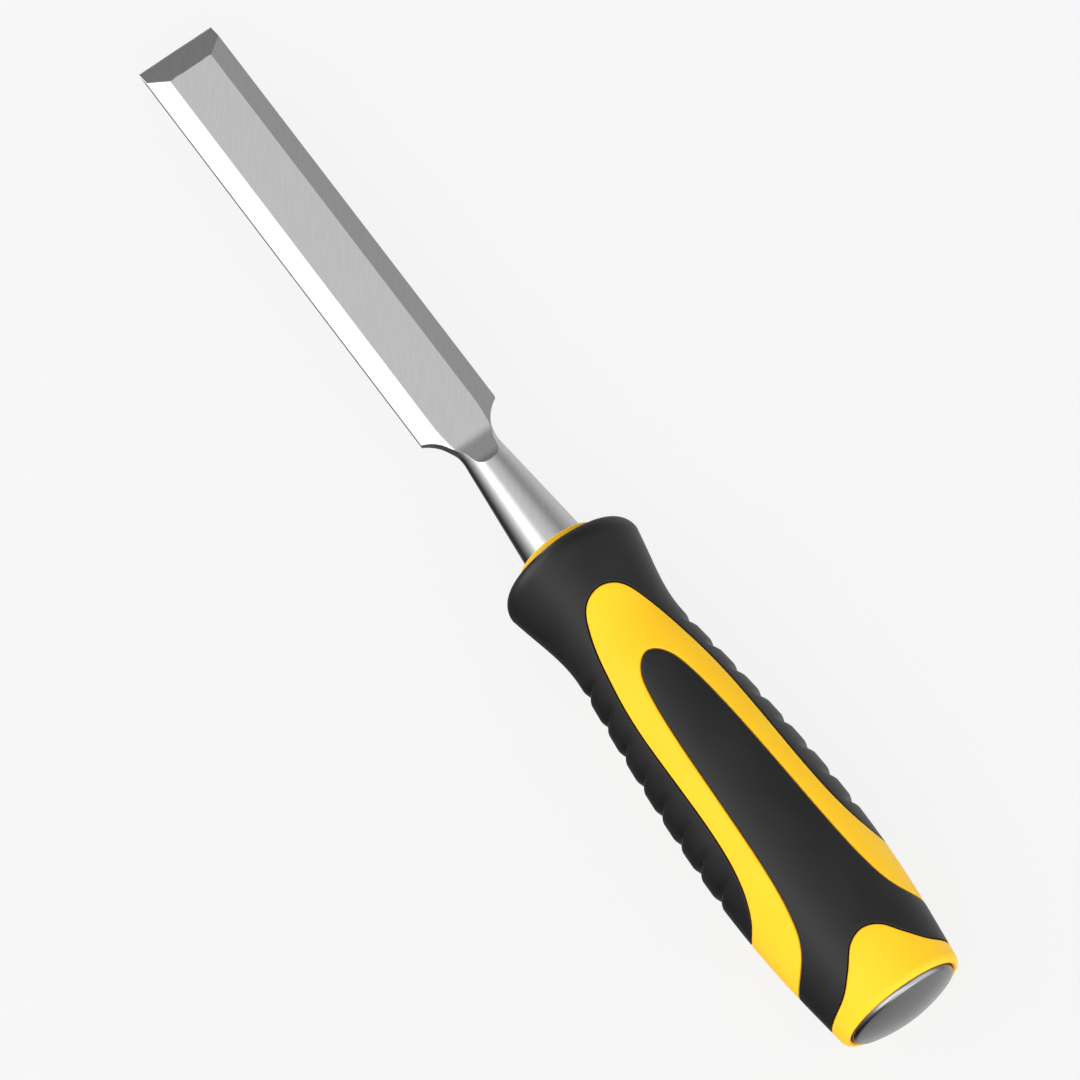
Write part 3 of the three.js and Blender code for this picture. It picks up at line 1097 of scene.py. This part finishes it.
# The room's brightness round the chisel's axis, by the angle in degrees from overhead towards the
# left side of the blade. One long soft light stands high on that side.
ROOM = [
    (-180, 0.5),
    (-160, 0.52),
    (-130, 0.74),
    (-100, 0.68),
    (-75, 0.5),
    (-55, 0.38),
    (-40, 0.42),
    (-10, 0.86),
    (10, 0.86),
    (22, 1.0),
    (34, 1.8),
    (46, 2.6),
    (58, 2.3),
    (70, 1.2),
    (86, 0.68),
    (102, 0.36),
    (125, 0.02),
    (150, 0.03),
    (163, 0.1),
    (173, 0.34),
    (180, 0.5),
]
ROOM_PEAK = 2.6
# The camera itself sees a plain pale room, as bright as the floor.
ROOM_SEEN = 0.93
# The room grows dimmer ahead of the tip and behind the butt: two levels, and the stretch of the
# direction's X between them.
AHEAD = 1, 0.45, 0.35, 0.9
BEHIND = 0.35, 1, -0.65, 0.36
# Further soft lights: a small one behind the butt at the height of the bench, one to each side
# behind it, one under it, and one ahead of the collar. Each has a direction, two angles between
# which it fades, and a level.
LIGHTS = [
    ((-0.97, -0.157, -0.17), 6, 20, 2.0),
    ((-0.75, -0.6, 0.3), 10, 48, 1.6),
    ((-0.72, 0.25, 0.6), 12, 38, 2.3),
    ((-0.4, -0.25, -0.87), 10, 48, 0.35),
    ((0.85, 0.5, 0.05), 6, 28, 2.4),
]

world = bpy.data.worlds.new("studio")
bpy.context.scene.world = world
world.use_nodes = True
sky = Graph(world.node_tree)
direction = sky.node("ShaderNodeTexCoord").outputs["Generated"]
parts = sky.node("ShaderNodeSeparateXYZ")
sky.link(direction, parts.inputs["Vector"])
turn = sky.maths("ARCTAN2", parts.outputs["Y"], parts.outputs["Z"])
room = sky.node("ShaderNodeValToRGB")
sky.link(sky.ranged(turn, 0, 1, -PI, PI), room.inputs["Fac"])
room.color_ramp.interpolation = "B_SPLINE"
stops = room.color_ramp.elements
while len(stops) < len(ROOM):
    stops.new(0.5)
for stop, (angle, level) in zip(stops, ROOM):
    stop.position = 0.5 + angle / 360
    stop.color = (*(level / ROOM_PEAK,) * 3, 1)
ahead = sky.ranged(parts.outputs["X"], *AHEAD, "SMOOTHSTEP")
behind = sky.ranged(parts.outputs["X"], *BEHIND, "SMOOTHSTEP")
ends = sky.maths("MULTIPLY", ahead, behind)
light = sky.maths("MULTIPLY", sky.maths("MULTIPLY", room.outputs["Color"], ROOM_PEAK), ends)
for towards, full, gone, level in LIGHTS:
    facing = sky.node("ShaderNodeVectorMath", operation="DOT_PRODUCT")
    sky.link(direction, facing.inputs[0])
    facing.inputs[1].default_value = Vector(towards).normalized()
    gone, full = (math.cos(math.radians(angle)) for angle in (gone, full))
    spot = sky.ranged(facing.outputs["Value"], 0, level, gone, full, "SMOOTHSTEP")
    light = sky.maths("ADD", light, spot)
seen = sky.node("ShaderNodeLightPath").outputs["Is Camera Ray"]
unseen = sky.maths("SUBTRACT", 1, seen)
light = sky.maths("MULTIPLY", light, unseen)
light = sky.maths("ADD", light, sky.maths("MULTIPLY", seen, ROOM_SEEN))
background = world.node_tree.nodes["Background"]
background.inputs["Color"].default_value = (1, 1, 1, 1)
sky.link(light, background.inputs["Strength"])

bpy.context.scene.view_settings.view_transform = "Standard"

# The camera stands behind the butt and a little to the left, nearly overhead.
VIEW_TILT = 0.3151850029
VIEW_ROLL = 0.1658062789
VIEW_TURN = 0.9194825562
VIEW_TARGET = 130
VIEW_DISTANCE = 1395.86
VIEW_OFFSET = (0.1771, -2.5108)
LENS = 233.33

toward = Vector(
    (
        math.sin(VIEW_TILT),
        -math.sin(VIEW_ROLL) * math.cos(VIEW_TILT),
        math.cos(VIEW_ROLL) * math.cos(VIEW_TILT),
    )
)
level = (Vector((1, 0, 0)) - math.sin(VIEW_TILT) * toward).normalized()
side_on = toward.cross(level)
right = math.cos(VIEW_TURN) * level + math.sin(VIEW_TURN) * side_on
upward = -math.sin(VIEW_TURN) * level + math.cos(VIEW_TURN) * side_on
pose = Matrix((right, upward, toward)).transposed().to_4x4()
pose.translation = MM * (
    Vector((VIEW_TARGET, 0, 0))
    + VIEW_OFFSET[0] * right
    + VIEW_OFFSET[1] * upward
    + VIEW_DISTANCE * toward
)
camera_data = bpy.data.cameras.new("camera")
camera_data.lens = LENS
camera_data.sensor_width = 36
camera_data.clip_end = 100
camera = bpy.data.objects.new("camera", camera_data)
bpy.context.scene.collection.objects.link(camera)
camera.matrix_world = PLACE @ pose
bpy.context.scene.camera = camera
